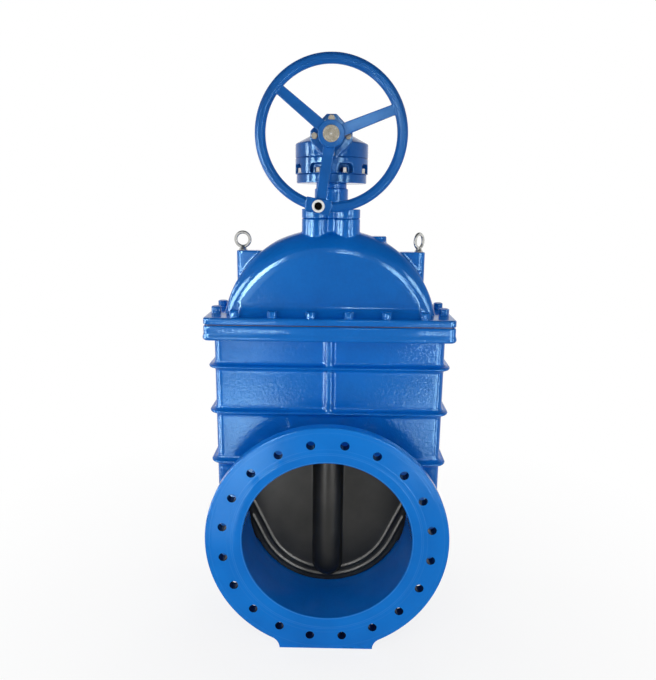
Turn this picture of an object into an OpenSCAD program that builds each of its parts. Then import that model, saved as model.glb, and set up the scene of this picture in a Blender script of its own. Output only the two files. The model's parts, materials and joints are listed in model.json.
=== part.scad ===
// Large flanged gate valve with a rubber-covered wedge, a bevel gear operator and a handwheel.
// Millimetres, +Z up. The pipe runs along Y with the handwheel side at -Y, and the floor is at Z = 0.

/* [Ports] */
// Outside diameter of the port flanges
flange_od = 840; // [830:5:860]
// Width of the port flanges' flat ring from the bore to the rim
flange_ring = 125; // [118:1:130]
// Thickness of the port flanges
flange_t = 38; // [34:1:44]
// Rounding on the outer edge of each port flange
flange_edge = 6; // [4:1:9]
// Length between the two port faces
face_to_face = 508; // [500:2:560]
// Distance of the flange bolt holes from the rim
bolt_edge = 57.5; // [52:0.5:62]
// Number of flange bolt holes
bolt_count = 20; // [16:4:24]
// Diameter of the flange bolt holes
bolt_hole_d = 30; // [26:1:34]
// Wall of the pipe neck behind each flange
neck_wall = 28; // [24:1:34]
// Width of the shallow bevel round the bore
lip_w = 30; // [22:1:34]
// Depth of the shallow bevel round the bore
lip_h = 7; // [4:1:10]
// How far the sweep from pipe neck to body stays inside the body's width
flare_in = 5; // [3:1:12]

/* [Feet] */
// How far the flat of the feet cuts into the flange rim
foot_cut = 9; // [5:1:12]
// Width of each foot on the floor
foot_w = 330; // [280:5:360]
// Radius of the hollow curve at each side of the foot
foot_sweep = 45; // [40:1:50]

/* [Body] */
// Width of the body on each side of the bore
body_side = 105; // [100:1:112]
// Outside depth of the body along the pipe
body_d = 200; // [196:2:220]
// Rounding of the body's outer upright corners
body_corner = 26; // [22:1:32]
// Rounding of the chamber's inner upright corners
inner_corner = 12; // [8:1:20]
// Wall of the body and of the bonnet
wall = 28; // [22:1:30]
// Room above the raised guide shoes up to the bonnet joint
joint_over = 17; // [12:1:24]
// Thickness of the flange on top of the body
body_flange_t = 52; // [44:1:56]
// Thickness of the round bead along the lower edge of that flange
joint_bead = 24; // [20:1:28]
// How far that bead stands out beyond the flange
joint_bead_out = 4; // [2:0.5:5]
// How far the bonnet joint flanges stand out beyond the body's ends
joint_lip = 19; // [14:1:24]
// How far the bonnet joint flanges stand out in front of and behind the body
joint_shelf = 80; // [76:1:86]
// Corner rounding of the bonnet joint flanges
joint_corner = 18; // [16:1:24]
// Drop of the top rib below the bonnet joint
rib_drop = 158; // [150:1:166]
// Distance from the top rib down to the middle rib
rib_upper_gap = 163; // [154:1:170]
// Distance from the middle rib down to the lowest rib
rib_lower_gap = 187; // [178:1:196]
// Radius of the hollow fillets between the ribs and the body
rib_fillet = 12; // [9:1:14]
// Rounding of the ribs' outer edges
rib_edge = 6; // [4:1:8]
// How far the ribs stand out from the body
rib_out = 22; // [20:1:26]
// Width of the upright rib in the middle where it leaves the body
mid_rib_root = 34; // [28:1:44]
// Width of the upright rib's outer face
mid_rib_tip = 19; // [14:1:24]

/* [Bonnet] */
// Thickness of the joint gasket
gasket_t = 3; // [2:0.5:5]
// Thickness of the bonnet's joint flange
bonnet_flange_t = 23; // [20:1:28]
// How far the bonnet arch's foot stays inside the body's width
dome_in = 30; // [26:1:36]
// Drop of the arch centre below the bonnet joint
dome_drop = 49; // [44:1:54]
// Radius of the flatter crown that cuts the arch
crown_r = 434; // [425:1:445]
// Height of the crown's uncut top above the arch's flat top
crown_over = 12; // [9:1:16]
// Rounding of the arch's front and back edges at its steep ends
dome_edge = 36; // [34:1:44]
// Rounding of the arch's front and back edges along the crown
crown_edge = 90; // [80:1:96]
// Depth of the flat cut off the top of the arch
dome_cut = 20; // [17:1:24]
// Radius of the hollow fillet at the foot of the arch
skirt = 38; // [30:1:44]
// Radius of the spot faces cut into that fillet at the bolts
spot_r = 28; // [24:1:32]
// Height of the neck on top of the arch
neck_h = 47; // [42:1:52]
// Wall of the neck round the stem, between its lobes
neck_skin = 20; // [16:1:24]
// Radius of the four lobes of the neck
lobe_r = 49.5; // [46:0.5:52]
// Width of the slit between neighbouring lobes in front and behind
lobe_slit = 1; // [1:0.5:4]
// Distance of the lobes' centres from the middle plane
lobe_y = 22; // [18:1:26]
// Thickness of the gland flange on the neck
gland_t = 31; // [26:1:36]
// Distance of the lifting lugs inside the arch's radius
lug_in = 64; // [60:1:70]
// Diameter of the lifting lugs
lug_d = 44; // [40:1:48]
// Length of the web from each lug's middle into the arch
lug_web = 66; // [62:1:76]
// Drop of the lug tops below the arch's flat top
lug_drop = 65; // [60:1:72]
// Mean radius of the lifting eyes
eye_r = 24.5; // [23:0.5:26]
// Thickness of the lifting eyes
eye_t = 11.5; // [10:0.5:13]
// Diameter of the foot of the lifting eyes
eye_foot_d = 32; // [28:1:36]
// Height of the ring's underside above the lug
eye_rise = 7; // [5:1:9]
// Turn of the right lifting eye about its own screw
eye_turn = 50; // [30:1:70]
// Distance of the vent boss from the right lifting lug
vent_in = 142; // [134:1:150]
// Diameter of the vent boss
vent_d = 58; // [50:1:62]
// Drop of the vent boss top below the arch's flat top
vent_drop = 12; // [8:1:16]

/* [Fasteners] */
// Distance of the last side bolts from the ends of the bonnet joint
joint_margin = 101.5; // [94:0.5:110]
// Distance of the joint bolts from the flange edge
joint_inset = 26; // [24:1:30]
// Distance of the end bolts from the middle plane
joint_end_y = 65; // [56:1:72]
// Width across the flats of the joint bolts
joint_bolt_af = 30; // [27:1:36]
// Height of the joint bolt heads
joint_bolt_h = 22; // [18:1:25]
// Width across the flats of the gear case bolts
case_bolt_af = 18; // [16:1:20]
// Height of the gear case bolt heads
case_bolt_h = 16; // [13:1:18]
// Width across the flats of the bearing cap bolts
cap_bolt_af = 18; // [16:1:19]
// Height of the bearing cap bolt heads
cap_bolt_h = 11; // [8:1:13]

/* [Gate] */
// Gap round the rubber of the closed gate
gate_gap = 2; // [1:0.5:4]
// Thickness of the gate disc
gate_t = 44; // [40:1:52]
// Distance of the outer sealing bead from the gate's rim
bead_margin = 25; // [20:1:30]
// Distance between the two sealing beads
bead_pitch = 28; // [24:1:32]
// Half angle of the beads' round part about straight down
bead_turn = 65; // [55:1:75]
// Thickness of the sealing beads
bead_t = 10; // [8:1:12]
// Wall of the stem tube in the gate
tube_wall = 25; // [20:1:26]
// Distance of the stem tube's rounded end from the bottom of the bore
tube_end_gap = 26; // [22:1:32]
// Thickness of the stem tube's closed end
tube_floor = 15; // [12:1:20]
// Height of the stem nut at the top of the stem tube
nut_h = 40; // [30:1:46]
// Wall of the stem nut
nut_wall = 15; // [12:1:18]
// Gap round the stem inside the stem tube
tube_gap = 5; // [4:0.5:7]
// Half height of the guide shoes
shoe_half = 120; // [100:1:122]
// Thickness of the guide shoes
shoe_t = 40; // [34:1:46]
// Gap between the guide shoes and their slots
shoe_gap = 5; // [5:0.5:6]
// Travel of the gate beyond the bore's diameter
travel_over = 15; // [12:1:18]
// Diameter of the stem
stem_d = 60; // [52:1:62]

/* [Gear operator] */
// Wall of the column between bonnet and gear case
column_wall = 27; // [22:1:30]
// Height of the column
column_h = 84; // [78:1:90]
// How much thinner the column's upper end is all round
column_step = 5; // [3:1:7]
// Length of the column's thinner upper end
column_end = 17; // [13:1:21]
// Diameter of the gear case flanges
case_d = 245; // [240:1:250]
// How far the gear case base stays inside the case's rim
base_in = 4; // [2:1:6]
// Width of the bolt pockets round the gear case
pocket_w = 52; // [46:1:56]
// Depth of the bolt pockets into the gear case
pocket_deep = 28; // [25:1:32]
// Height of the ledge that each bolt head stands on
pocket_ledge = 3; // [2:1:6]
// Height of the plain band above the bolt pockets
pocket_band = 20; // [16:1:24]
// Rounding of the pockets' upper corners
pocket_corner = 12; // [8:1:14]
// Thickness of the gear case base
case_base_t = 29; // [25:1:33]
// Height of the gear case above its base
case_h = 52; // [48:1:58]
// Thickness of the cover's rim
cover_t = 46; // [40:1:50]
// Height of the cover's sloping roof
roof_h = 25; // [20:1:30]
// Distance of the roof's top edge inside the cover's rim
roof_in = 47; // [42:1:50]
// Distance of the gear case bolts inside the case's rim
case_bolt_in = 13; // [12:0.5:15]
// Height of the input shaft above the cover's rim
input_up = 9; // [7:1:12]
// Radius of the input shaft's housing at the bearing cap
snout_r = 48; // [44:1:50]
// Spread of the input shaft's housing at its root
snout_spread = 34; // [28:1:40]
// Reach of the input shaft's housing beyond the gear case
snout_out = 37.5; // [34:0.5:42]
// Reach of the diamond-shaped bearing cap's flat ends from the shaft
cap_reach = 65; // [63:1:68]
// Length of the bearing cap's flat ends
cap_flat = 30; // [26:1:34]
// Thickness of the bearing cap
cap_t = 18; // [15:1:20]
// Distance of the bearing cap bolts from the cap's flat ends
cap_bolt_edge = 13; // [12:0.5:15]

/* [Handwheel] */
// Outside diameter of the handwheel
wheel_d = 460; // [440:2:470]
// Width of the handwheel's rim, seen from the front
rim_t = 32; // [28:1:34]
// Depth of the handwheel's rim along the shaft
rim_depth = 28; // [24:1:30]
// Bevel on the rim's edges
rim_bevel = 9; // [6:1:10]
// Length of the pad on the rim round the handle bush
pad_l = 79; // [70:1:86]
// Wall of the pad round the handle bush
pad_wall = 3; // [2:0.5:5]
// How far the pad stands out in front of and behind the rim
pad_out = 3; // [1:0.5:4]
// Gap between the bearing cap and the handwheel's hub
wheel_gap = 19; // [17:1:22]
// Width of the spokes at the hub
spoke_w = 36; // [33:1:40]
// Width of the spokes at the rim
spoke_end_w = 30; // [26:1:32]
// Thickness of the spokes
spoke_t = 16; // [12:1:18]
// Turn of the first spoke from level
spoke_turn = 21; // [0:1:40]
// Wall of the hub round the input shaft
hub_wall = 21; // [18:1:24]
// Length of the hub
hub_l = 48; // [42:1:52]
// Diameter of the input shaft
shaft_d = 38; // [34:1:40]
// Running gap round the input shaft and the stem
shaft_gap = 0.1; // [0.05:0.05:0.3]
// How far the washer stands out beyond the input shaft
washer_over = 6; // [4:1:8]
// Thickness of the washer on the shaft end
washer_t = 5; // [4:1:6]
// Wall of the handle bush
bush_wall = 7.5; // [6:0.5:8]
// Bore of the handle bush
bush_bore = 24; // [20:1:26]
// How far the handle bush stands out of the pad at each end
bush_proud = 2; // [1:0.5:4]
// Place of the handle bush round the rim
bush_turn = 260; // [255:0.5:262]

/* [Hidden] */
$fn = 96;
slack = 1;
bite = 10;
case_bolts_n = 8;
side_bolts_n = 6;

bore_r = flange_od / 2 - flange_ring;
port_r = bore_r + neck_wall;
bolt_circle_r = flange_od / 2 - bolt_edge;
gate_r = bore_r - gate_gap;
gate_travel = 2 * bore_r + travel_over;
face_y = face_to_face / 2;

body_w = 2 * (bore_r + body_side);
inner_w = body_w - 2 * wall;
inner_d = body_d - 2 * wall;
flare = body_w / 2 - port_r - flare_in;
joint_w = body_w + 2 * joint_lip;
joint_d = body_d + 2 * joint_shelf;
joint_pitch = (joint_w - 2 * joint_margin) / (side_bolts_n - 1);
dome_r = body_w / 2 - dome_in;
lug_x = dome_r - lug_in;

axis_z = flange_od / 2 - foot_cut;
joint_z = axis_z + gate_travel + shoe_half + joint_over;
rib_top_z = joint_z - rib_drop;
rib_mid_z = rib_top_z - rib_upper_gap;
rib_low_z = rib_mid_z - rib_lower_gap;
slot_low = axis_z - shoe_half - shoe_gap;
bonnet_z = joint_z + gasket_t;
flange_top_z = bonnet_z + bonnet_flange_t;
neck_z = joint_z - dome_drop + dome_r - dome_cut;
lug_top_z = neck_z - lug_drop;
gland_z = neck_z + neck_h;
column_z = gland_z + gland_t;
base_z = column_z + column_h;
case_z = base_z + case_base_t;
cover_z = case_z + case_h;
roof_z = cover_z + cover_t;
input_z = roof_z + input_up;

tube_bore = stem_d + 2 * tube_gap;
tube_d = tube_bore + 2 * tube_wall;
tube_drop = bore_r - tube_end_gap;
stem_low = axis_z - tube_drop + tube_floor + gate_travel + shoe_gap;
nut_top = stem_low - axis_z + nut_h;
stem_hole = stem_d + shoe_gap;
neck_r = stem_hole / 2 + neck_skin;
lobe_x = lobe_r + lobe_slit / 2;

snout_reach = case_d / 2 + snout_out;
wheel_reach = snout_reach + cap_t + wheel_gap + hub_l / 2;
shaft_hole = shaft_d + 2 * shaft_gap;
hub_d = shaft_d + 2 * hub_wall;
rim_r = wheel_d / 2 - rim_t / 2;
bevel_low = rim_bevel - rim_depth / 2;
bush_d = bush_bore + 2 * bush_wall;
bush_l = rim_depth + 2 * pad_out + 2 * bush_proud;
pad_w = bush_d + 2 * pad_wall;

blue = [0.06, 0.38, 0.72];
deep_blue = [0.07, 0.33, 0.64];
rubber = [0.07, 0.07, 0.07];
steel = [0.68, 0.69, 0.70];

// Piece to draw

// Rectangle with rounded corners, centred
module rounded(w, d, r) {
    square([w - 2 * r, d], center = true);
    square([w, d - 2 * r], center = true);
    for (x = [-1, 1], y = [-1, 1])
        translate([x * (w / 2 - r), y * (d / 2 - r)])
            circle(r, $fn = 32);
}

// Places children at the front port, pipe axis at the local origin, local Z out of the port
module at_port() {
    translate([0, -face_y, axis_z])
        rotate([90, 0, 0])
            children();
}

module both_ports() {
    for (side = [0, 1])
        mirror([0, side, 0])
            at_port()
                children();
}

// Places children at the handwheel, hub on the local Z axis pointing at the operator
module at_input(reach) {
    translate([0, -reach, input_z])
        rotate([90, 0, 0])
            children();
}

// Round plate with a rounded edge on its top side
module rounded_plate(r, t, edge) {
    rotate_extrude()
        polygon(concat([[0, 0], [0, -t], [r, -t]],
            [for (a = [0:15:90]) [r - edge + edge * cos(a), edge * sin(a) - edge]]));
}

// Foot below a port flange, with hollow curves where it leaves the rim
module foot() {
    translate([0, 0, -flange_t])
        linear_extrude(flange_t)
            difference() {
                translate([-foot_w / 2 - foot_sweep / 2, -axis_z])
                    square([foot_w + foot_sweep, foot_sweep]);
                for (x = [-1, 1])
                    translate([x * (foot_w / 2 + foot_sweep), -axis_z])
                        circle(foot_sweep);
            }
}

// Port flange in port coordinates, with its foot, bolt holes and bevelled mouth
module port_flange() {
    difference() {
        union() {
            rounded_plate(flange_od / 2, flange_t, flange_edge);
            foot();
        }
        translate([-flange_od / 2, -axis_z - flange_od, -flange_t - slack])
            cube([flange_od, flange_od, flange_t + 2 * slack]);
        translate([0, 0, -flange_t - slack])
            cylinder(r = bore_r, h = flange_t + 2 * slack);
        translate([0, 0, -lip_h])
            cylinder(r1 = bore_r, r2 = bore_r + lip_w, h = lip_h);
        for (i = [0:bolt_count - 1])
            rotate(360 / bolt_count * (i + 0.5))
                translate([bolt_circle_r, 0, -flange_t - slack])
                    cylinder(d = bolt_hole_d, h = flange_t + 2 * slack, $fn = 32);
    }
}

module front_flange() {
    color(blue)
        at_port()
            port_flange();
}

module rear_flange() {
    color(blue)
        mirror([0, 1, 0])
            at_port()
                port_flange();
}

// Hollow sweep from a pipe neck out to the body's flat side, in port coordinates
module neck_flare() {
    side_z = body_d / 2 - face_y;
    rotate_extrude()
        polygon(concat([[bore_r + bite, side_z - bite], [bore_r + bite, side_z + flare]],
            [for (a = [180:15:270]) [port_r + flare * (1 + cos(a)), side_z + flare * (1 + sin(a))]],
            [[port_r + flare, side_z - bite]]));
}

// Sweeps a section right round a rounded rectangle, the section's X out of its sides
module band(w, d, corner) {
    for (side = [0:3]) {
        along = side % 2 == 0 ? w / 2 : d / 2;
        out = side % 2 == 0 ? d / 2 : w / 2;
        rotate(90 * side) {
            translate([0, -out, 0])
                rotate([90, 0, -90])
                    linear_extrude(2 * along - 2 * corner, center = true)
                        children();
            translate([corner - along, corner - out, 0])
                rotate(180)
                    rotate_extrude(angle = 90, $fn = 48)
                        translate([corner, 0])
                            children();
        }
    }
}

// Section of a rib, a round nose with a hollow fillet above and below
module rib_section() {
    foot = rib_edge + rib_fillet;
    nose = rib_out - rib_edge;
    polygon(concat([[-bite, -foot]],
        [for (a = [180:-30:90]) [rib_fillet * (1 + cos(a)), rib_fillet * sin(a) - foot]],
        [for (a = [-90:45:90]) [nose + rib_edge * cos(a), rib_edge * sin(a)]],
        [for (a = [270:-30:180]) [rib_fillet * (1 + cos(a)), rib_fillet * sin(a) + foot]],
        [[-bite, foot]]));
}

module ribs() {
    for (z = [rib_low_z, rib_mid_z, rib_top_z])
        translate([0, 0, z])
            band(body_w, body_d, body_corner)
                rib_section();
    for (side = [0, 1])
        mirror([0, side, 0])
            translate([0, body_d / 2, rib_mid_z])
                linear_extrude(joint_z - rib_mid_z - bite)
                    polygon([[-mid_rib_root / 2, -bite], [mid_rib_root / 2, -bite],
                        [mid_rib_root / 2, 0], [mid_rib_tip / 2, rib_out - rib_edge],
                        [-mid_rib_tip / 2, rib_out - rib_edge], [-mid_rib_root / 2, 0]]);
}

// Plate with the outline of the bonnet joint, its underside at height z
module joint_plate(z, t, inset) {
    translate([0, 0, z])
        linear_extrude(t)
            rounded(joint_w - 2 * inset, joint_d - 2 * inset, joint_corner - inset);
}

// Flange on top of the body, with a round bead along its lower edge
module body_flange() {
    r = joint_bead / 2;
    low_z = joint_z - body_flange_t;
    joint_plate(low_z, body_flange_t, r - joint_bead_out);
    joint_plate(low_z + joint_bead, body_flange_t - joint_bead, 0);
    translate([0, 0, low_z + r])
        band(joint_w, joint_d, joint_corner)
            polygon(concat([[-r, -r]],
                [for (a = [-90:30:90]) [joint_bead_out - r + r * cos(a), r * sin(a)]],
                [[-r, r]]));
}

// Casting between the port flanges: pipe, belly, upright chamber and joint flange
module body() {
    color(blue)
        difference() {
            union() {
                at_port()
                    translate([0, 0, flange_t - face_to_face])
                        cylinder(r = port_r, h = face_to_face - 2 * flange_t);
                at_port()
                    translate([0, 0, -face_y - body_d / 2])
                        cylinder(r = port_r + flare, h = body_d);
                both_ports()
                    neck_flare();
                translate([0, 0, slot_low - wall])
                    linear_extrude(joint_z - slot_low + wall)
                        rounded(body_w, body_d, body_corner);
                ribs();
                body_flange();
            }
            at_port()
                translate([0, 0, -face_to_face])
                    cylinder(r = bore_r, h = face_to_face);
            translate([0, 0, axis_z])
                linear_extrude(joint_z - axis_z + slack)
                    rounded(inner_w, inner_d, inner_corner);
            translate([-inner_w / 2, -shoe_t / 2 - shoe_gap, slot_low])
                cube([inner_w, shoe_t + 2 * shoe_gap, axis_z - slot_low + slack]);
        }
}

module joint_gasket() {
    color(rubber)
        translate([0, 0, joint_z])
            linear_extrude(gasket_t)
                difference() {
                    rounded(joint_w - wall / 2, joint_d - wall / 2, joint_corner - wall / 4);
                    rounded(inner_w, inner_d, inner_corner);
                }
}

// Round drum lying along the pipe, with rounded edges, its axis at height z
module drum(r, z, d, edge) {
    flat = d / 2 - edge;
    translate([0, 0, z])
        rotate([90, 0, 0])
            rotate_extrude()
                polygon(concat([[0, d / 2], [0, -d / 2]],
                    [for (a = [-90:10:0]) [r - edge + edge * cos(a), edge * sin(a) - flat]],
                    [for (a = [0:10:90]) [r - edge + edge * cos(a), edge * sin(a) + flat]]));
}

// Bonnet arch, a steep drum cut by a flatter one, drawn in by a wall where it is the inside
module arch(inset) {
    intersection() {
        drum(dome_r - inset, joint_z - dome_drop, body_d - 2 * inset, dome_edge - inset);
        drum(crown_r - inset, neck_z + crown_over - crown_r, body_d - 2 * inset, crown_edge - inset);
        translate([-dome_r, -body_d, bonnet_z + slack - inset])
            cube([2 * dome_r, 2 * body_d, neck_z - bonnet_z - slack]);
    }
}

// Hollow fillet along the foot of the arch, cut back round the joint bolts
module arch_skirt() {
    difference() {
        for (side = [0, 1])
            mirror([0, side, 0])
                translate([0, -body_d / 2, flange_top_z])
                    rotate([90, 0, -90])
                        linear_extrude(2 * lug_x, center = true)
                            polygon(concat([[-bite, -slack], [skirt, -slack]],
                                [for (a = [270:-15:180]) [skirt * (1 + cos(a)), skirt * (1 + sin(a))]],
                                [[-bite, skirt]]));
        translate([0, 0, flange_top_z])
            at_side_bolts()
                cylinder(r = spot_r, h = skirt + slack, $fn = 64);
    }
}

// Places children at the bolts along the long sides of the bonnet joint
module at_side_bolts() {
    for (i = [0:side_bolts_n - 1], y = [-1, 1])
        translate([joint_margin - joint_w / 2 + i * joint_pitch, y * (joint_d / 2 - joint_inset), 0])
            children();
}

// Outline of the neck and of the gland flange, four lobes round the stem
module clover() {
    circle(neck_r);
    for (x = [-1, 1], y = [-1, 1])
        translate([x * lobe_x, y * lobe_y])
            circle(lobe_r, $fn = 64);
}

// Lifting lug on the right side, with a web that runs into the arch
module lug() {
    h = lug_top_z - bonnet_z - slack;
    translate([lug_x, 0, bonnet_z + slack])
        cylinder(d = lug_d, h = h, $fn = 64);
    translate([lug_x - lug_web, -lug_d / 2, bonnet_z + slack])
        cube([lug_web, lug_d, h]);
}

module bonnet() {
    color(blue)
        difference() {
            union() {
                joint_plate(bonnet_z, bonnet_flange_t, 0);
                arch(0);
                arch_skirt();
                translate([0, 0, neck_z - wall])
                    linear_extrude(neck_h + wall)
                        clover();
                for (side = [0, 1])
                    mirror([side, 0, 0])
                        lug();
                translate([lug_x - vent_in, 0, neck_z - vent_drop - 2 * wall])
                    cylinder(d = vent_d, h = 2 * wall, $fn = 64);
            }
            arch(wall);
            translate([0, 0, bonnet_z])
                cylinder(d = stem_hole, h = gland_z - bonnet_z + slack);
        }
}

module hex_head(af, h) {
    cylinder(d = af / cos(30), h = h, $fn = 6);
}

module joint_bolts() {
    color(blue)
        translate([0, 0, flange_top_z]) {
            at_side_bolts()
                hex_head(joint_bolt_af, joint_bolt_h);
            for (x = [-1, 1], y = [-1, 1])
                translate([x * (joint_w / 2 - joint_inset), y * joint_end_y, 0])
                    hex_head(joint_bolt_af, joint_bolt_h);
        }
}

// Lifting eye: a ring on a tapered foot that sits on a lug
module lifting_eye() {
    cylinder(d1 = eye_foot_d, d2 = eye_t, h = eye_rise + eye_t, $fn = 64);
    translate([0, 0, eye_rise + eye_r + eye_t / 2])
        rotate([90, 0, 0])
            rotate_extrude()
                translate([eye_r, 0])
                    circle(d = eye_t, $fn = 32);
}

module eye_left() {
    color(steel)
        translate([-lug_x, 0, lug_top_z])
            lifting_eye();
}

module eye_right() {
    color(steel)
        translate([lug_x, 0, lug_top_z])
            rotate(eye_turn)
                lifting_eye();
}

module gland_flange() {
    color(blue)
        translate([0, 0, gland_z])
            linear_extrude(gland_t)
                difference() {
                    clover();
                    circle(d = stem_hole);
                }
}

module column() {
    d = stem_d + 2 * column_wall;
    color(blue)
        translate([0, 0, column_z])
            difference() {
                union() {
                    cylinder(d = d, h = column_h - column_end);
                    cylinder(d = d - 2 * column_step, h = column_h);
                }
                translate([0, 0, -slack])
                    cylinder(d = stem_hole, h = column_h + 2 * slack);
            }
}

module stem() {
    color(steel)
        translate([0, 0, stem_low])
            cylinder(d = stem_d, h = base_z - stem_low);
}

module case_base() {
    color(deep_blue)
        translate([0, 0, base_z])
            cylinder(d = case_d - 2 * base_in, h = case_base_t);
}

// Turns children round the stem to each of the gear case bolts
module at_case_bolts() {
    for (i = [0:case_bolts_n - 1])
        rotate(360 / case_bolts_n * (i + 0.5))
            children();
}

// Pocket for one gear case bolt, open outward
module bolt_pocket() {
    r = pocket_corner;
    half = pocket_w / 2;
    shoulder = case_h - pocket_band - r;
    translate([case_d / 2 - pocket_deep, 0, 0])
        rotate([90, 0, 90])
            linear_extrude(case_d)
                polygon(concat([[-half, pocket_ledge], [half, pocket_ledge]],
                    [for (a = [0:15:90]) [half - r + r * cos(a), shoulder + r * sin(a)]],
                    [for (a = [90:15:180]) [r - half + r * cos(a), shoulder + r * sin(a)]]));
}

module gear_case() {
    color(deep_blue)
        translate([0, 0, case_z])
            difference() {
                cylinder(d = case_d, h = case_h);
                at_case_bolts()
                    bolt_pocket();
            }
}

module case_bolts() {
    color(steel)
        translate([0, 0, case_z + pocket_ledge])
            at_case_bolts()
                translate([case_d / 2 - case_bolt_in, 0, 0])
                    hex_head(case_bolt_af, case_bolt_h);
}

// Housing of the input shaft: round at the back, with a root that spreads below the shaft
module snout() {
    at_input(0) {
        rotate_extrude()
            polygon(concat([[0, snout_reach]],
                [for (a = [-90:15:0]) [snout_r * cos(a), snout_r * sin(a)]],
                [[snout_r, snout_reach]]));
        difference() {
            cylinder(r1 = snout_r + snout_spread, r2 = snout_r - slack, h = snout_reach);
            translate([-case_d, 0, -slack])
                cube([2 * case_d, case_d, snout_reach + 2 * slack]);
        }
    }
}

module case_cover() {
    color(deep_blue)
        difference() {
            union() {
                translate([0, 0, cover_z])
                    cylinder(d = case_d, h = cover_t);
                translate([0, 0, roof_z])
                    cylinder(d1 = case_d, d2 = case_d - 2 * roof_in, h = roof_h);
                snout();
            }
            translate([-case_d, -case_d, cover_z - case_d])
                cube([2 * case_d, 2 * case_d, case_d]);
            at_input(snout_reach / 2)
                cylinder(d = shaft_hole, h = snout_reach);
        }
}

module bearing_cap() {
    color(deep_blue)
        at_input(snout_reach)
            difference() {
                linear_extrude(cap_t)
                    polygon([for (i = [0:3], y = [-1, 1])
                        [cap_reach * cos(90 * i) - y * cap_flat / 2 * sin(90 * i),
                            cap_reach * sin(90 * i) + y * cap_flat / 2 * cos(90 * i)]]);
                translate([0, 0, -slack])
                    cylinder(d = shaft_hole, h = cap_t + 2 * slack);
            }
}

module cap_bolts() {
    color(steel)
        at_input(snout_reach + cap_t)
            for (i = [0:3])
                rotate(90 * i)
                    translate([cap_reach - cap_bolt_edge, 0, 0])
                        hex_head(cap_bolt_af, cap_bolt_h);
}

module input_shaft() {
    color(steel)
        at_input(snout_reach / 2 + shoe_gap)
            cylinder(d = shaft_d, h = wheel_reach + hub_l / 2 - snout_reach / 2 - shoe_gap);
}

module wheel_hub() {
    color(deep_blue)
        at_input(wheel_reach - hub_l / 2)
            difference() {
                cylinder(d = hub_d, h = hub_l);
                translate([0, 0, -slack])
                    cylinder(d = shaft_d, h = hub_l + 2 * slack);
            }
}

// Everything on the rim in wheel coordinates: the ring with its bevelled edges and the pad
module rim_solid() {
    in = rim_t / 2;
    up = rim_depth / 2;
    rotate_extrude()
        translate([rim_r, 0])
            polygon([[-in, bevel_low], [rim_bevel - in, -up], [in - rim_bevel, -up], [in, bevel_low],
                [in, -bevel_low], [in - rim_bevel, up], [rim_bevel - in, up], [-in, -bevel_low]]);
    rotate(bush_turn)
        translate([rim_r, 0, 0])
            cube([pad_w, pad_l, rim_depth + 2 * pad_out], center = true);
}

// Hole for the handle bush, centred on the wheel's middle plane
module bush_hole(d, h) {
    rotate(bush_turn)
        translate([rim_r, 0, 0])
            cylinder(d = d, h = h, center = true, $fn = 64);
}

module wheel_spokes() {
    color(deep_blue)
        at_input(wheel_reach)
            difference() {
                for (i = [0:2])
                    rotate(120 * i + spoke_turn)
                        linear_extrude(spoke_t, center = true)
                            polygon([[0, -spoke_w / 2], [rim_r, -spoke_end_w / 2],
                                [rim_r, spoke_end_w / 2], [0, spoke_w / 2]]);
                cylinder(d = hub_d, h = 2 * spoke_t, center = true);
                rim_solid();
                bush_hole(bush_d, bush_l);
            }
}

module wheel_rim() {
    color(deep_blue)
        at_input(wheel_reach)
            difference() {
                rim_solid();
                bush_hole(bush_d, bush_l);
            }
}

module handle_bush() {
    color(steel)
        at_input(wheel_reach)
            difference() {
                bush_hole(bush_d, bush_l);
                bush_hole(bush_bore, bush_l + 2 * slack);
            }
}

module hub_washer() {
    color(steel)
        at_input(wheel_reach + hub_l / 2)
            cylinder(d = shaft_d + 2 * washer_over, h = washer_t);
}

// One sealing bead on the gate's face: a round bottom that runs on in two straight arms to the rim
module bead(r) {
    arm = sqrt(pow(gate_r - bead_t / 2, 2) - r * r);
    rotate(-90 - bead_turn)
        rotate_extrude(angle = 2 * bead_turn)
            translate([r, 0])
                circle(d = bead_t, $fn = 24);
    for (side = [0, 1])
        mirror([side, 0, 0])
            rotate(bead_turn - 90)
                translate([r, 0, 0])
                    rotate([-90, 0, 0])
                        cylinder(d = bead_t, h = arm, $fn = 24);
}

// Wedge of the valve: a thick round disc with sealing beads, a stem tube and two guide shoes
module gate() {
    end_r = tube_d / 2;
    nut_low = nut_top - nut_h;
    color(rubber)
        translate([0, 0, axis_z])
            difference() {
                union() {
                    rotate([90, 0, 0]) {
                        cylinder(r = gate_r, h = gate_t, center = true);
                        for (side = [-1, 1])
                            translate([0, 0, side * gate_t / 2]) {
                                bead(gate_r - bead_margin);
                                bead(gate_r - bead_margin - bead_pitch);
                            }
                    }
                    rotate_extrude()
                        polygon(concat([[0, nut_low]],
                            [for (a = [-90:15:0]) [end_r * cos(a), end_r * (1 + sin(a)) - tube_drop]],
                            [[end_r, nut_low]]));
                    translate([0, 0, nut_low - bite])
                        cylinder(d = stem_d + 2 * nut_wall, h = nut_h + bite);
                    translate([shoe_gap - inner_w / 2, -shoe_t / 2, -shoe_half])
                        cube([inner_w - 2 * shoe_gap, shoe_t, 2 * shoe_half]);
                }
                translate([0, 0, tube_floor - tube_drop])
                    cylinder(d = tube_bore, h = nut_low - bite + tube_drop - tube_floor);
                translate([0, 0, nut_low - bite - slack])
                    cylinder(d = stem_d + 2 * shaft_gap, h = nut_h + bite + 2 * slack);
            }
}

body();
front_flange();
rear_flange();
joint_gasket();
bonnet();
joint_bolts();
eye_left();
eye_right();
gland_flange();
column();
stem();
case_base();
gear_case();
case_bolts();
case_cover();
bearing_cap();
cap_bolts();
input_shaft();
wheel_hub();
wheel_spokes();
wheel_rim();
handle_bush();
hub_washer();
gate();
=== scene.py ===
import bmesh
import bpy
import json
import math
from mathutils import Matrix, Vector

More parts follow.
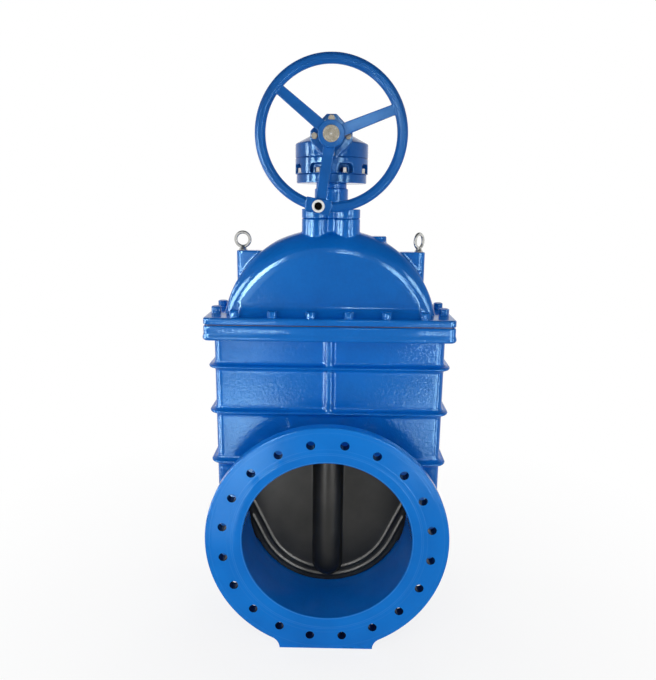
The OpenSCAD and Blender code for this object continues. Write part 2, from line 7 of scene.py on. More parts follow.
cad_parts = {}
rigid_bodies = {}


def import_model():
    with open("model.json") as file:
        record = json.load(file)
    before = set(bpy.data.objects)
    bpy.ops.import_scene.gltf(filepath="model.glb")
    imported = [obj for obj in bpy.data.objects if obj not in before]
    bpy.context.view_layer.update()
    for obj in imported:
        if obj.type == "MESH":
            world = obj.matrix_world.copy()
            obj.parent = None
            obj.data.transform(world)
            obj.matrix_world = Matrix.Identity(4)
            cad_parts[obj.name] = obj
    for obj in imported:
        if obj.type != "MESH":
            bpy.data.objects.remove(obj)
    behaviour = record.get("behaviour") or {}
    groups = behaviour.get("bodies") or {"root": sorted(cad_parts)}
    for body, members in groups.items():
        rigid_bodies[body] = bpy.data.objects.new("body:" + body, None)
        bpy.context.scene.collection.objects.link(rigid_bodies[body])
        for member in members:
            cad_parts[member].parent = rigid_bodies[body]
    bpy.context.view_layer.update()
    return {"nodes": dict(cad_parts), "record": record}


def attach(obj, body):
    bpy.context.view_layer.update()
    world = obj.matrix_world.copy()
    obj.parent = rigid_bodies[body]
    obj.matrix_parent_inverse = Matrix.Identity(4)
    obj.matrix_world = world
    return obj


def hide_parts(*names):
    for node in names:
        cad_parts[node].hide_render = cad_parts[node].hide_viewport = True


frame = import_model()
nodes = frame["nodes"]
scene = bpy.context.scene
portBolts = next(mount for mount in frame["record"]["mounts"] if mount["name"] == "front_bolts")
portAxis = portBolts["pos_m"][2]              # height of the pipe's axis over the floor
print("frame:", len(nodes), "nodes")


class Wire:                                   # a socket that can stand in a Python expression
    def __init__(self, finish, socket):
        self.finish = finish
        self.socket = socket

    def maths(self, operation, first, second):
        return self.finish.add("ShaderNodeMath", {"operation": operation}, {0: first, 1: second})

    def __add__(self, other):
        return self.maths("ADD", self, other)

    def __radd__(self, other):
        return self.maths("ADD", other, self)

    def __sub__(self, other):
        return self.maths("SUBTRACT", self, other)

    def __rsub__(self, other):
        return self.maths("SUBTRACT", other, self)

    def __mul__(self, other):
        return self.maths("MULTIPLY", self, other)

    def __rmul__(self, other):
        return self.maths("MULTIPLY", other, self)


class Finish:                                 # one node tree, of a material or of the world
    def __init__(self, owner):
        owner.use_nodes = True
        self.owner = owner
        self.tree = owner.node_tree
        self.tree.nodes.clear()

    def add(self, kind, settings, sockets, give=0):
        node = self.tree.nodes.new(kind)
        for key, value in settings.items():
            if key == "stops":
                ramp = node.color_ramp.elements
                while len(ramp) < len(value):
                    ramp.new(1.0)
                for stop, (place, tone) in zip(ramp, value):
                    stop.position = place
                    stop.color = (*tone, 1.0)
            else:
                setattr(node, key, value)
        for key, value in sockets.items():
            if isinstance(value, Wire):
                self.tree.links.new(value.socket, node.inputs[key])
            else:
                node.inputs[key].default_value = value
        return Wire(self, node.outputs[give]) if len(node.outputs) else None

    def place(self):
        return self.add("ShaderNodeTexCoord", {}, {}, "Object")

    def noise(self, scale, detail, rough):
        return self.add("ShaderNodeTexNoise", {}, {
            "Vector": self.place(), "Scale": scale, "Detail": detail, "Roughness": rough}, "Fac")

    def ramp(self, value, stops):
        return self.add("ShaderNodeValToRGB", {"stops": stops}, {"Fac": value}, "Color")

    def tone(self, value, look):              # from the dark to the light colour of a finish
        low, high = look["tones"]
        return self.ramp(value, [(low, look["dark"]), (high, look["light"])])

    def bump(self, height, distance, strength, under=None):
        sockets = {"Height": height, "Distance": distance, "Strength": strength}
        if under:
            sockets["Normal"] = under
        return self.add("ShaderNodeBump", {}, sockets, "Normal")

    def close(self, sockets):
        shader = self.add("ShaderNodeBsdfPrincipled", {}, sockets, "BSDF")
        self.add("ShaderNodeOutputMaterial", {}, {"Surface": shader})
        return self.owner


def newFinish(name):
    return Finish(bpy.data.materials.new(name))


# paint: thick epoxy on a sand casting, with orange peel over a slow waviness
# patch, cast and peel are noises of (scale, detail, roughness)
# calm lists (height, share of the waviness left there), and tall is the height that its ramp spans
coatLook = {
    "tones": (0.38, 0.62), "patchShare": 0.7, "castStrength": 0.5, "peelStrength": 0.6,
    "gloss": 0.10, "glossDip": 0.02, "glossSpread": 0.06,
    "shine": 0.26, "shineTint": (0.46, 0.82, 1.0, 1.0), "tall": 2.0, "calm": [(0.0, 1.0)],
}
valvePaintLook = {
    **coatLook, "dark": (0.0025, 0.122, 0.475), "light": (0.0035, 0.146, 0.545),
    "patch": (6.0, 3.0, 0.5), "cast": (115.0, 3.0, 0.55), "castDepth": 0.0017,
    "peel": (260.0, 1.0, 0.4), "peelDepth": 0.00012,
    "calm": [(1.085, 1.0), (1.100, 0.2), (1.200, 0.2), (1.230, 0.4), (1.450, 0.4), (1.480, 1.0)],
}
borePaintLook = {**valvePaintLook, "castDepth": 0.0001, "peelDepth": 0.00003, "gloss": 0.16, "shine": 0.10}
operatorPaintLook = {
    **coatLook, "dark": (0.006, 0.090, 0.345), "light": (0.008, 0.112, 0.420),
    "patch": (11.0, 3.0, 0.5), "cast": (120.0, 3.0, 0.55), "castDepth": 0.0010,
    "peel": (300.0, 1.0, 0.4), "peelDepth": 0.00010,
}
wheelPaintLook = {**operatorPaintLook, "castDepth": 0.0003, "gloss": 0.19, "shine": 0.13}


def paint(name, look):
    f = newFinish(name)
    patch = f.noise(*look["patch"])
    cast = f.noise(*look["cast"])
    peel = f.noise(*look["peel"])
    # the waviness fades by height, since the joint and the arch are smoother than the rest
    height = f.add("ShaderNodeSeparateXYZ", {}, {"Vector": f.place()}, "Z")
    stops = [(z / look["tall"], (part,) * 3) for z, part in look["calm"]]
    calm = f.ramp(height * (1.0 / look["tall"]), stops)
    normal = f.bump(cast * calm, look["castDepth"], look["castStrength"])
    normal = f.bump(peel, look["peelDepth"], look["peelStrength"], normal)
    return f.close({
        "Base Color": f.tone(patch * look["patchShare"] + cast * (1.0 - look["patchShare"]), look),
        "Roughness": look["gloss"] - look["glossDip"] + patch * look["glossSpread"],
        "Normal": normal,
        "Specular IOR Level": look["shine"],
        "Specular Tint": look["shineTint"],
    })


# flange paint: smoother, with the turned steps of the face showing through, painted highlight lines on the
# step edges and painted shade on the bolt holes' walls
facePaintLook = {
    "dark": (0.0030, 0.156, 0.570), "light": (0.0040, 0.180, 0.635), "tones": (0.38, 0.62),
    "patch": (4.0, 3.0, 0.5), "peel": (320.0, 1.0, 0.4), "peelDepth": 0.0002, "peelStrength": 0.5,
    "gloss": 0.18, "glossDip": 0.04, "glossSpread": 0.10, "shine": 0.16, "shineTint": coatLook["shineTint"],
    "reach": 0.42, "steps": (0.327, 0.345, 0.398, 0.408),
    "stepEdge": 0.001, "stepDepth": 0.0022, "stepStrength": 0.5,
    # painted highlights: pale rings where the bore's rounded edge, the lip and the outer bevel catch the
    # light
    "highlightRings": ((0.2965, 0.55), (0.3255, 0.30), (0.3310, 0.22), (0.3450, 0.14), (0.4030, 0.16)),
    "highlightWidth": 0.0014, "highlightTone": (0.10, 0.34, 0.78, 1.0),
    # painted shade: the walls of the bolt holes are coloured near black
    "holeEdge": 0.0003, "holeShadeTone": (0.0015, 0.010, 0.055, 1.0),
}


def facedPaint(name, look, bolts):
    f = newFinish(name)
    patch = f.noise(*look["patch"])
    peel = f.noise(*look["peel"])
    # place in the flange's plane, measured from the pipe's axis
    middle = f.add("ShaderNodeVectorMath", {"operation": "SUBTRACT"},
                   {0: f.place(), 1: (0.0, 0.0, portAxis)}, "Vector")
    flat = f.add("ShaderNodeVectorMath", {"operation": "MULTIPLY"},
                 {0: middle, 1: (1.0, 0.0, 1.0)}, "Vector")
    radius = f.add("ShaderNodeVectorMath", {"operation": "LENGTH"}, {0: flat}, "Value")
    across = f.add("ShaderNodeSeparateXYZ", {}, {"Vector": flat}, "X")
    upward = f.add("ShaderNodeSeparateXYZ", {}, {"Vector": flat}, "Z")
    # stepped level, and pale lines of painted highlight on the step edges, by the distance from the pipe's
    # axis
    share = radius * (1.0 / look["reach"])
    drop = 1.0 / len(look["steps"])
    stops = [(0.0, (1.0, 1.0, 1.0))]
    for number, step in enumerate(look["steps"]):
        for side, passed in ((-1, number), (1, number + 1)):
            stops.append(((step + side * look["stepEdge"]) / look["reach"], (1.0 - drop * passed,) * 3))
    level = f.ramp(share, stops)
    stops = [(0.0, (0.0, 0.0, 0.0))]
    for ring, strength in look["highlightRings"]:
        for side, tone in ((-1, 0.0), (0, strength), (1, 0.0)):
            stops.append(((ring + side * look["highlightWidth"]) / look["reach"], (tone,) * 3))
    highlightLine = f.ramp(share, stops)
    # painted shade on each bolt hole's wall, from the angle folded into one sector
    sector = 2 * math.pi / bolts["count"]
    angle = f.add("ShaderNodeMath", {"operation": "ARCTAN2"}, {0: across, 1: upward})
    folded = f.add("ShaderNodeMath", {"operation": "FLOORED_MODULO"}, {0: angle, 1: sector}) - sector / 2
    along = folded * radius
    out = radius - bolts["pcd_mm"] / 2000     # from millimetres across to metres of radius
    holeReach = bolts["hole_r_mm"] / 1000 + look["holeEdge"]
    hole = f.add("ShaderNodeMath", {"operation": "LESS_THAN"},
                 {0: along * along + out * out, 1: holeReach ** 2})
    # a colour mix takes its factor at 0 and its colours at 6 and 7, and gives its colour at 2
    tone = f.tone(patch, look)
    # painted highlight lines on the step edges first, then painted shade on the bolt holes' walls
    for mask, over in ((highlightLine, look["highlightTone"]), (hole, look["holeShadeTone"])):
        tone = f.add("ShaderNodeMix", {"data_type": "RGBA"}, {0: mask, 6: tone, 7: over}, 2)
    normal = f.bump(level, look["stepDepth"], look["stepStrength"])
    normal = f.bump(peel, look["peelDepth"], look["peelStrength"], normal)
    return f.close({
        "Base Color": tone,
        "Roughness": look["gloss"] - look["glossDip"] + patch * look["glossSpread"],
        "Normal": normal,
        "Specular IOR Level": look["shine"],
        "Specular Tint": look["shineTint"],
    })


# rubber: clouded black with a fine grain
rubberLook = {
    "dark": (0.0075, 0.0073, 0.0060), "light": (0.0160, 0.0155, 0.0130), "tones": (0.35, 0.70),
    "cloud": (7.0, 4.0, 0.6), "grain": (420.0, 2.0, 0.5), "grainDepth": 0.0004, "grainStrength": 0.3,
    "rough": 0.22, "roughSpread": 0.2, "shine": 0.24,
}
# near-black finish of the plug: painted shade deep in the bush's hole
holeShadeLook = {
    **rubberLook, "dark": (0.0015, 0.0015, 0.0015), "light": (0.0040, 0.0040, 0.0040), "shine": 0.05,
}


def rubber(name, look):
    f = newFinish(name)
    cloud = f.noise(*look["cloud"])
    grain = f.noise(*look["grain"])
    return f.close({
        "Base Color": f.tone(cloud, look),
        "Roughness": look["rough"] + cloud * look["roughSpread"],
        "Normal": f.bump(grain, look["grainDepth"], look["grainStrength"]),
        "Specular IOR Level": look["shine"],
    })


# plated and turned metal: clouded, with fine scratches
metalLook = {
    "tones": (0.32, 0.68), "metallic": 1.0, "roughSpread": 0.16,
    "scratchDepth": 0.0003, "scratchStrength": 0.3,
}
zincLook = {
    **metalLook, "dark": (0.40, 0.40, 0.39), "light": (0.66, 0.66, 0.64),
    "cloud": (60.0, 3.0, 0.6), "scratch": (700.0, 2.0, 0.5), "rough": 0.12,
}
yellowZincLook = {
    **metalLook, "dark": (0.30, 0.275, 0.215), "light": (0.48, 0.45, 0.38),
    "cloud": (70.0, 3.0, 0.6), "scratch": (700.0, 2.0, 0.5), "rough": 0.18,
}
steelLook = {
    **metalLook, "dark": (0.30, 0.30, 0.31), "light": (0.56, 0.56, 0.57),
    "cloud": (30.0, 3.0, 0.6), "scratch": (500.0, 2.0, 0.5), "rough": 0.22,
}
bushLook = {
    **metalLook, "dark": (0.74, 0.74, 0.71), "light": (0.90, 0.90, 0.87),
    "cloud": (80.0, 3.0, 0.6), "scratch": (600.0, 2.0, 0.5), "rough": 0.22, "metallic": 0.35,
}


def metal(name, look):
    f = newFinish(name)
    cloud = f.noise(*look["cloud"])
    scratch = f.noise(*look["scratch"])
    return f.close({
        "Base Color": f.tone(cloud, look),
        "Metallic": look["metallic"],
        "Roughness": look["rough"] + cloud * look["roughSpread"],
        "Normal": f.bump(scratch, look["scratchDepth"], look["scratchStrength"]),
    })


valvePaint = paint("valvePaint", valvePaintLook)
borePaint = paint("borePaint", borePaintLook)
facePaint = facedPaint("facePaint", facePaintLook, portBolts["dims"])
operatorPaint = paint("operatorPaint", operatorPaintLook)
wheelPaint = paint("wheelPaint", wheelPaintLook)
gateRubber = rubber("gateRubber", rubberLook)
holeShade = rubber("holeShade", holeShadeLook)
zinc = metal("zinc", zincLook)
yellowZinc = metal("yellowZinc", yellowZincLook)
stemSteel = metal("stemSteel", steelLook)
bushZinc = metal("bushZinc", bushLook)
print("finishes made")


# shared mesh tools
weldReach = 2e-6


def weldedCopy(names):
    bm = bmesh.new()
    for name in names:
        bm.from_mesh(nodes[name].data)
    bmesh.ops.remove_doubles(bm, verts=bm.verts, dist=weldReach)
    return bm


def newPiece(name, bm, body, finish, replaced=()):
    mesh = bpy.data.meshes.new(name)
    bm.to_mesh(mesh)
    bm.free()
    mesh.materials.append(finish)
    piece = bpy.data.objects.new(name, mesh)
    scene.collection.objects.link(piece)
    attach(piece, body)
    if replaced:
        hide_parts(*replaced)
    return piece


def bake(piece, finish):                      # turns the modifiers into plain mesh
    depsgraph = bpy.context.evaluated_depsgraph_get()
    mesh = bpy.data.meshes.new_from_object(piece.evaluated_get(depsgraph))
    old = piece.data
    piece.modifiers.clear()
    piece.data = mesh
    mesh.name = old.name
    bpy.data.meshes.remove(old)
    mesh.materials.clear()
    mesh.materials.append(finish)
    mesh.shade_smooth()


def islands(name):                            # the box of each separate solid in a node, from left to right
    bm = weldedCopy([name])
    left = set(bm.verts)
    boxes = []
    while left:
        todo = [left.pop()]
        seen = []
        while todo:
            v = todo.pop()
            seen.append(v.co.copy())
            for e in v.link_edges:
                other = e.other_vert(v)
                if other in left:
                    left.remove(other)
                    todo.append(other)
        low = Vector([min(c[i] for c in seen) for i in range(3)])
        high = Vector([max(c[i] for c in seen) for i in range(3)])
        boxes.append((low, high))
    bm.free()
    return sorted(boxes, key=lambda b: tuple(b[0]))


def middleOf(name):
    low, high = islands(name)[0]
    return (low + high) / 2


# castings: edges and inside corners rounded as sand and paint leave them
softenPull = 0.5
castings = {
    "bodyCasting": {"nodes": ["body"], "body": "valve", "slot": "valve_paint",
                    "finish": valvePaint, "voxel": 0.0042, "rounds": 3, "keep": 0.33},
    "bonnetCasting": {"nodes": ["bonnet"], "body": "valve", "slot": "valve_paint",
                      "finish": valvePaint, "voxel": 0.0034, "rounds": 5, "keep": 0.5},
    "glandFlange": {"nodes": ["gland_flange"], "body": "valve", "slot": "valve_paint",
                    "finish": valvePaint, "voxel": 0.0022, "rounds": 5, "keep": 1.0},
    "gearCaseBase": {"nodes": ["case_base"], "body": "valve", "slot": "operator_paint",
                     "finish": operatorPaint, "voxel": 0.0022, "rounds": 4, "keep": 1.0},
    "gearCaseRing": {"nodes": ["gear_case"], "body": "valve", "slot": "operator_paint",
                     "finish": operatorPaint, "voxel": 0.0020, "rounds": 4, "keep": 0.7},
    "gearCaseCover": {"nodes": ["case_cover"], "body": "valve", "slot": "operator_paint",
                      "finish": operatorPaint, "voxel": 0.0022, "rounds": 8, "keep": 0.7},
    "bearingCap": {"nodes": ["bearing_cap"], "body": "valve", "slot": "operator_paint",
                   "finish": operatorPaint, "voxel": 0.0015, "rounds": 4, "keep": 1.0},
    "handwheel": {"nodes": ["wheel_hub", "wheel_spokes", "wheel_rim"], "body": "handwheel",
                  "slot": "operator_paint", "finish": wheelPaint,
                  "voxel": 0.0016, "rounds": 4, "keep": 0.65},
    "gateWedge": {"nodes": ["gate"], "body": "gate", "slot": "gate_rubber",
                  "finish": gateRubber, "voxel": 0.0032, "rounds": 2, "keep": 0.6},
    "eyeLeft": {"nodes": ["eye_left"], "body": "valve", "slot": "zinc",
                "finish": zinc, "voxel": 0.0010, "rounds": 5, "keep": 1.0},
    "eyeRight": {"nodes": ["eye_right"], "body": "valve", "slot": "zinc",
                 "finish": zinc, "voxel": 0.0010, "rounds": 5, "keep": 1.0},
}


def castPiece(name, kit):
    piece = newPiece(name, weldedCopy(kit["nodes"]), kit["body"], kit["finish"], kit["nodes"])
    remesh = piece.modifiers.new("sand", "REMESH")
    remesh.mode = "VOXEL"
    remesh.voxel_size = kit["voxel"]
    remesh.use_smooth_shade = True
    soften = piece.modifiers.new("soften", "SMOOTH")
    soften.factor = softenPull
    soften.iterations = kit["rounds"]
    if kit["keep"] < 1.0:
        piece.modifiers.new("thin", "DECIMATE").ratio = kit["keep"]
    bake(piece, kit["finish"])
    print(name, sum(len(face.vertices) - 2 for face in piece.data.polygons), "triangles")


for title, kit in castings.items():
    castPiece(title, kit)


# machined pieces: the CAD shape with its sharp edges broken, angles in degrees
edgeBreak = {"flat": 0.5, "sharp": 32.0, "steps": 3, "profile": 0.5}
turnings = {
    "frontFlange": {"nodes": ["front_flange"], "finish": facePaint, "edge": 0.002},
    "rearFlange": {"nodes": ["rear_flange"], "finish": facePaint, "edge": 0.002},
    "column": {"nodes": ["column"], "finish": valvePaint, "edge": 0.003},
}


def turnedPiece(name, kit):
    bm = weldedCopy(kit["nodes"])
    flat = math.radians(edgeBreak["flat"])
    bmesh.ops.dissolve_limit(bm, angle_limit=flat, verts=bm.verts, edges=bm.edges)
    corner = math.radians(edgeBreak["sharp"])
    sharp = [e for e in bm.edges if e.is_manifold and e.calc_face_angle(0.0) > corner]
    bmesh.ops.bevel(bm, geom=sharp, offset=kit["edge"], offset_type="OFFSET", segments=edgeBreak["steps"],
                    profile=edgeBreak["profile"], affect="EDGES", clamp_overlap=True)
    piece = newPiece(name, bm, "valve", kit["finish"], kit["nodes"])
    piece.data.shade_smooth()
    weighted = piece.modifiers.new("normals", "WEIGHTED_NORMAL")
    weighted.keep_sharp = True
    print(name, len(piece.data.polygons), "faces")


for title, kit in turnings.items():
    turnedPiece(title, kit)

# nodes whose CAD shape stays as it is
for name, finish in {"stem": stemSteel, "joint_gasket": gateRubber, "input_shaft": zinc}.items():
    nodes[name].data.materials.clear()
    nodes[name].data.materials.append(finish)


# swept pieces: a closed profile of (radius, distance towards the viewer) round a line along Y
sweepCrease = math.radians(40)


def sweep(bm, profile, centre, steps=96):
    rings = []
    for i in range(steps):
        a = 2 * math.pi * i / steps
        ring = [Vector((r * math.cos(a), -out, r * math.sin(a))) for r, out in profile]
        rings.append([bm.verts.new(centre + corner) for corner in ring])
    for i, ring in enumerate(rings):
        after = rings[(i + 1) % steps]
        for j in range(len(profile)):
            k = (j + 1) % len(profile)
            bm.faces.new((ring[j], after[j], after[k], ring[k]))
    bmesh.ops.recalc_face_normals(bm, faces=bm.faces)


# coat of paint over the seam between flange and body inside the bore
liner = {"radius": 0.2930, "coat": 0.0014, "near": 0.0726, "far": 0.2466, "steps": 384}


def makeLiner(kit):
    bm = bmesh.new()
    centre = Vector((0.0, 0.0, portAxis))
    inner, outer = kit["radius"], kit["radius"] + kit["coat"]
    for side in (-1, 1):
        near, far = side * kit["near"], side * kit["far"]
        sweep(bm, [(inner, near), (inner, far), (outer, far), (outer, near)], centre, kit["steps"])
    piece = newPiece("boreCoat", bm, "valve", borePaint)
    piece.data.shade_smooth()
    piece.data.set_sharp_from_angle(angle=sweepCrease)


# handle bush with a dark plug deep in its hole, which stands in for the shade there as painted shade
bush = {"radius": 0.0195, "bore": 0.0120, "half": 0.019, "edge": 0.0015}
shadePlug = {"front": -0.002, "back": -0.016, "core": 0.0004, "gap": 0.0002, "slope": 0.004, "inset": 0.002}


def makeBush(kit, hole):
    centre = middleOf("handle_bush")
    bm = bmesh.new()
    r, b, h, e = kit["radius"], kit["bore"], kit["half"], kit["edge"]
    sweep(bm, [(b, -h), (b, h - e), (b + e, h), (r - e, h), (r, h - e), (r, -h)], centre)
    piece = newPiece("handleBush", bm, "handwheel", bushZinc, ["handle_bush"])
    piece.data.set_sharp_from_angle(angle=sweepCrease)
    bm = bmesh.new()
    front, back, core, side = hole["front"], hole["back"], hole["core"], b - hole["gap"]
    shoulder = [(side, front + hole["slope"]), (b - hole["inset"], front)]
    sweep(bm, [(core, back), (side, back), *shoulder, (core, front)], centre)
    newPiece("bushHoleShade", bm, "handwheel", holeShade)


# hub washer with its turned rings
washer = {"rings": [(0.0030, 0.0025), (0.0030, 0.0016), (0.0085, 0.0016), (0.0092, 0.0024),
                    (0.0128, 0.0024), (0.0135, 0.0017), (0.0190, 0.0017), (0.0198, 0.0025),
                    (0.0238, 0.0025), (0.0250, 0.0014), (0.0250, -0.0025), (0.0030, -0.0025)]}


def makeWasher(kit):
    bm = bmesh.new()
    sweep(bm, kit["rings"], middleOf("hub_washer"))
    piece = newPiece("hubWasher", bm, "handwheel", yellowZinc, ["hub_washer"])
    piece.data.set_sharp_from_angle(angle=sweepCrease)


makeLiner(liner)
makeBush(bush, shadePlug)
makeWasher(washer)
print("swept pieces made")


# bolts: hex heads with a turned chamfer and a dished top on a round collar
# the heads' levels are shares of the height, their widths shares of the collar or of the flat top
headShape = {"steps": 48, "twist": 0.7, "collarWall": 0.10, "collarTop": (0.97, 0.13), "hexFoot": 0.14,
             "flat": 0.94, "chamfer": 0.5, "rim": 0.9, "dishEdge": (0.84, 0.965), "dish": (0.3, 0.96)}
boltSets = {
    "jointBolts": {"node": "joint_bolts", "slot": "valve_paint", "finish": valvePaint, "axis": "up",
                   "across": 0.030, "collar": 0.0168, "crease": 75},
    "caseBolts": {"node": "case_bolts", "slot": "zinc", "finish": zinc, "axis": "up",
                  "across": 0.018, "collar": 0.0100, "crease": 28},
    "capBolts": {"node": "cap_bolts", "slot": "zinc", "finish": yellowZinc, "axis": "front",
                 "across": 0.018, "collar": 0.0100, "crease": 28},
}


def headProfile(angle, kit, height):          # radius and height of the head's outline at one angle
    sixth = math.pi / 3
    reach = kit["across"] / 2 / math.cos((angle + sixth / 2) % sixth - sixth / 2)
    flat = kit["across"] / 2 * headShape["flat"]
    drop = max(0.0, (reach - flat) * headShape["chamfer"])
    collar = kit["collar"]
    width, level = headShape["collarTop"]
    outline = [(collar, 0.0), (collar, height * headShape["collarWall"]), (collar * width, height * level)]
    outline += [(reach, height * headShape["hexFoot"]), (reach, height - drop)]
    outline += [(flat, height), (flat * headShape["rim"], height)]
    for width, level in (headShape["dishEdge"], headShape["dish"]):
        outline.append((flat * width, height * level))
    return outline


def boltHead(bm, place, kit, height, turn):
    angles = [2 * math.pi * i / headShape["steps"] for i in range(headShape["steps"])]
    outlines = [headProfile(a, kit, height) for a in angles]
    loops = []
    for level in range(len(outlines[0])):
        ring = []
        for a, outline in zip(angles, outlines):
            r, z = outline[level]
            ring.append(bm.verts.new(place @ Vector((r * math.cos(a + turn), r * math.sin(a + turn), z))))
        loops.append(ring)
    for lower, upper in zip(loops, loops[1:]):
        for i in range(len(angles)):
            j = (i + 1) % len(angles)
            bm.faces.new((lower[i], lower[j], upper[j], upper[i]))
    bm.faces.new(loops[-1])
    bm.faces.new(list(reversed(loops[0])))


for title, kit in boltSets.items():
    bm = bmesh.new()
    for number, (low, high) in enumerate(islands(kit["node"])):
        middle = (low + high) / 2
        if kit["axis"] == "up":
            place = Matrix.Translation((middle.x, middle.y, low.z))
            height = high.z - low.z
        else:
            place = Matrix.Translation((middle.x, high.y, middle.z)) @ Matrix.Rotation(math.pi / 2, 4, "X")
            height = high.y - low.y
        boltHead(bm, place, kit, height, headShape["twist"] * number)
    piece = newPiece(title, bm, "valve", kit["finish"], [kit["node"]])
    piece.data.set_sharp_from_angle(angle=math.radians(kit["crease"]))
print("bolts made")


# stage: pale floor that whitens away from the valve, white backdrop, soft boxes
floorLook = {"half": 30.0, "tone": (0.82, 0.82, 0.82, 1.0),
             "near": 0.5, "far": 2.0, "reach": 4.0, "white": 0.82}


def seenDirectly(f):                          # camera, mirror and glass rays all meet the same background
    path = {kind: f.add("ShaderNodeLightPath", {}, {}, kind)
            for kind in ("Is Camera Ray", "Is Glossy Ray", "Is Transmission Ray")}
    return path["Is Camera Ray"] + path["Is Glossy Ray"] + path["Is Transmission Ray"]


def makeFloor(look):
    half = look["half"]
    corners = [(-half, -half, 0), (half, -half, 0), (half, half, 0), (-half, half, 0)]
    mesh = bpy.data.meshes.new("floor")
    mesh.from_pydata(corners, [], [(0, 1, 2, 3)])
    floor = bpy.data.objects.new("floor", mesh)
    scene.collection.objects.link(floor)
    f = newFinish("floorWhite")
    away = f.add("ShaderNodeVectorMath", {"operation": "LENGTH"}, {0: f.place()}, "Value")
    near, far = look["near"] / look["reach"], look["far"] / look["reach"]
    fade = f.ramp(away * (1.0 / look["reach"]), [(near, (look["white"],) * 3), (far, (1.0, 1.0, 1.0))])
    matt = f.add("ShaderNodeBsdfDiffuse", {}, {"Color": look["tone"]})
    glow = f.add("ShaderNodeEmission", {}, {"Color": (1.0, 1.0, 1.0, 1.0), "Strength": 1.0})
    mixed = f.add("ShaderNodeMixShader", {}, {0: seenDirectly(f) * fade, 1: matt, 2: glow})
    f.add("ShaderNodeOutputMaterial", {}, {"Surface": mixed})
    mesh.materials.append(f.owner)


# white round the horizon, with a darker ceiling above the picture
skyLook = {"fill": (0.92, 0.96, 1.0, 1.0), "fillStrength": 0.29,
           "stops": [(0.770, (1.0, 1.0, 1.0)), (0.850, (0.13, 0.14, 0.15))]}


def makeWorld(look):
    world = bpy.data.worlds.new("studio")
    scene.world = world
    f = Finish(world)
    way = f.add("ShaderNodeTexCoord", {}, {}, "Generated")
    height = f.add("ShaderNodeSeparateXYZ", {}, {"Vector": way}, "Z")
    tone = f.ramp(height * 0.5 + 0.5, look["stops"])      # 0 straight down, 1 straight up
    lit = f.add("ShaderNodeBackground", {}, {"Color": look["fill"], "Strength": look["fillStrength"]})
    white = f.add("ShaderNodeBackground", {}, {"Color": tone, "Strength": 1.0})
    mixed = f.add("ShaderNodeMixShader", {}, {0: seenDirectly(f), 1: lit, 2: white})
    f.add("ShaderNodeOutputWorld", {}, {"Surface": mixed})


# soft boxes light the object; a lamp with no "to" faces straight along the pipe
softBoxes = {
    "boxLeft": {"at": (-0.64, -1.65, 1.15), "to": (-0.1, 0.0, 1.05), "size": (0.50, 2.3), "watts": 13.2},
    "boxRight": {"at": (0.70, -1.65, 1.15), "to": (0.1, 0.0, 1.05), "size": (0.40, 2.2), "watts": 7.4},
    "sideLeft": {"at": (-2.5, 0.4, 1.3), "to": (0.0, 0.0, 1.0), "size": (0.8, 2.2), "watts": 24},
    "sideRight": {"at": (2.5, 0.4, 1.3), "to": (0.0, 0.0, 1.0), "size": (0.8, 2.2), "watts": 18},
    "backLeft": {"at": (-0.9, 2.0, 1.3), "to": (0.0, 0.0, 1.0), "size": (0.5, 2.2), "watts": 9},
    "backRight": {"at": (0.9, 2.0, 1.3), "to": (0.0, 0.0, 1.0), "size": (0.5, 2.2), "watts": 11},
    "backSoft": {"at": (0.6, 3.4, 2.6), "to": (0.0, 0.0, 0.8), "size": (2.0, 2.0), "watts": 30},
}

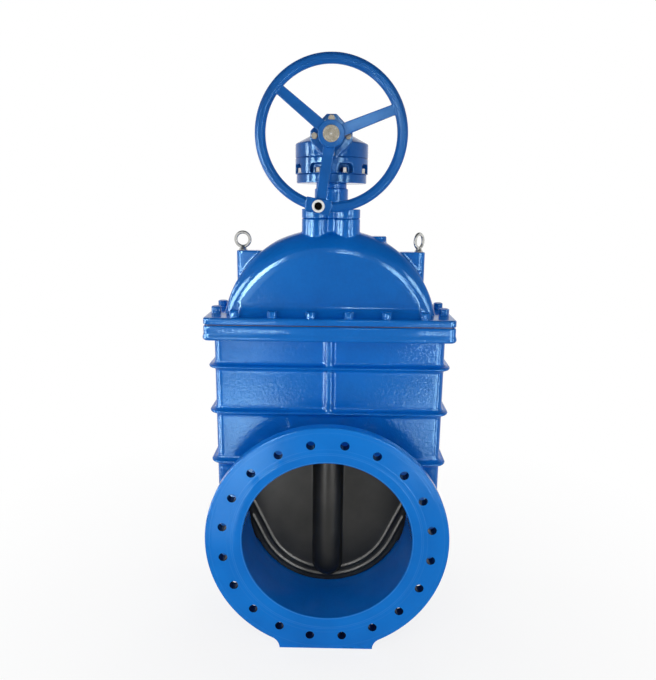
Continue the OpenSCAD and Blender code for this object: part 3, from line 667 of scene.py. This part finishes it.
# bright cards that show in the gloss of the paint alone, as the windows and lamps of a workshop do
cards = {
    "cardLeftLow": {"at": (-0.56, -1.65, 0.22), "size": (0.40, 0.44), "glow": 16.0},
    "cardFoot": {"at": (-0.46, -0.90, 0.20), "size": (0.26, 0.30), "glow": 6.0},
    "cardLeftMid": {"at": (-0.58, -1.65, 0.64), "size": (0.36, 0.40), "glow": 4.0},
    "cardRightLow": {"at": (0.58, -1.65, 0.22), "size": (0.26, 0.44), "glow": 9.0},
    "cardJointLeft": {"at": (-0.47, -1.65, 0.847), "size": (0.35, 0.035), "glow": 60.0},
    "cardJointRight": {"at": (0.60, -1.65, 0.840), "size": (0.22, 0.035), "glow": 45.0},
    "cardDome": {"at": (-0.66, -1.65, 1.24), "to": (-0.2, 0.0, 1.28), "size": (0.34, 0.50), "glow": 5.0},
    "cardLeftHigh": {"at": (-0.96, -1.55, 1.25), "to": (0.0, 0.0, 1.20), "size": (0.50, 0.70), "glow": 5.0},
    "cardShoulder": {"at": (-1.05, -1.56, 1.62), "to": (-0.2, -0.1, 1.33),
                     "size": (0.34, 0.62), "glow": 70.0},
    "cardShoulderTop": {"at": (-0.86, -1.58, 1.94), "to": (-0.15, -0.1, 1.40),
                        "size": (0.24, 0.30), "glow": 60.0},
    "cardSpoke": {"at": (0.22, -1.65, 2.00), "size": (0.30, 0.30), "glow": 15.0},
    "cardSpokeRoot": {"at": (0.115, -1.64, 1.97), "size": (0.07, 0.14), "glow": 70.0},
    "windowLeft": {"at": (-1.51, -0.98, 1.02), "to": (0.0, 0.0, 1.02), "size": (0.32, 1.95), "glow": 42.0},
    "windowFarLeft": {"at": (-1.77, -0.31, 1.02), "to": (0.0, 0.0, 1.02),
                      "size": (0.24, 1.95), "glow": 34.0},
    "windowRight": {"at": (0.88, -1.57, 1.02), "to": (0.0, 0.0, 1.02), "size": (0.27, 1.95), "glow": 30.0},
    "windowFarRight": {"at": (1.42, -1.11, 1.10), "to": (0.0, 0.0, 1.10),
                       "size": (0.22, 2.10), "glow": 28.0},
}


def hang(name, lamp, watts):
    light = bpy.data.lights.new(name, "AREA")
    light.shape = "RECTANGLE"
    light.size, light.size_y = lamp["size"]
    light.energy = watts
    holder = bpy.data.objects.new(name, light)
    at = Vector(lamp["at"])
    holder.location = at
    aim = Vector(lamp.get("to", (at.x, 0.0, at.z))) - at
    holder.rotation_euler = aim.to_track_quat("-Z", "Y").to_euler()
    holder.visible_camera = False
    scene.collection.objects.link(holder)
    return holder


def isCoated(thing):                          # painted or rubbered
    finishes = thing.data.materials if thing.type == "MESH" else []
    return len(finishes) > 0 and finishes[0].name.endswith(("Paint", "Rubber"))


def makeLights():
    for name, lamp in softBoxes.items():
        hang(name, lamp, lamp["watts"]).visible_glossy = False
    glossy = bpy.data.collections.new("glossy")
    for thing in filter(isCoated, scene.objects):
        glossy.objects.link(thing)
    for name, lamp in cards.items():
        wide, tall = lamp["size"]
        card = hang(name, lamp, lamp["glow"] * math.pi * wide * tall)
        card.visible_diffuse = False
        card.light_linking.receiver_collection = glossy


photoCamera = {"at": (0.022, -2.134, 1.541), "pitch": 12.42, "yaw": 0.76, "roll": 0.60,
               "focalPixels": 607.0, "tallPixels": 680.0, "sensor": 36.0, "clip": (0.05, 100.0)}


def makeCamera(view):
    camera = bpy.data.cameras.new("camera")
    camera.sensor_fit = "AUTO"
    camera.sensor_width = view["sensor"]
    camera.lens = view["focalPixels"] / view["tallPixels"] * view["sensor"]
    camera.clip_start, camera.clip_end = view["clip"]
    holder = bpy.data.objects.new("camera", camera)
    turn = (Matrix.Rotation(math.radians(view["yaw"]), 4, "Z")
            @ Matrix.Rotation(math.radians(90 - view["pitch"]), 4, "X")
            @ Matrix.Rotation(math.radians(view["roll"]), 4, "Z"))
    holder.matrix_world = Matrix.Translation(view["at"]) @ turn
    scene.collection.objects.link(holder)
    scene.camera = holder


makeFloor(floorLook)
makeWorld(skyLook)
makeLights()
makeCamera(photoCamera)
scene.view_settings.view_transform = "Standard"
print("stage set")
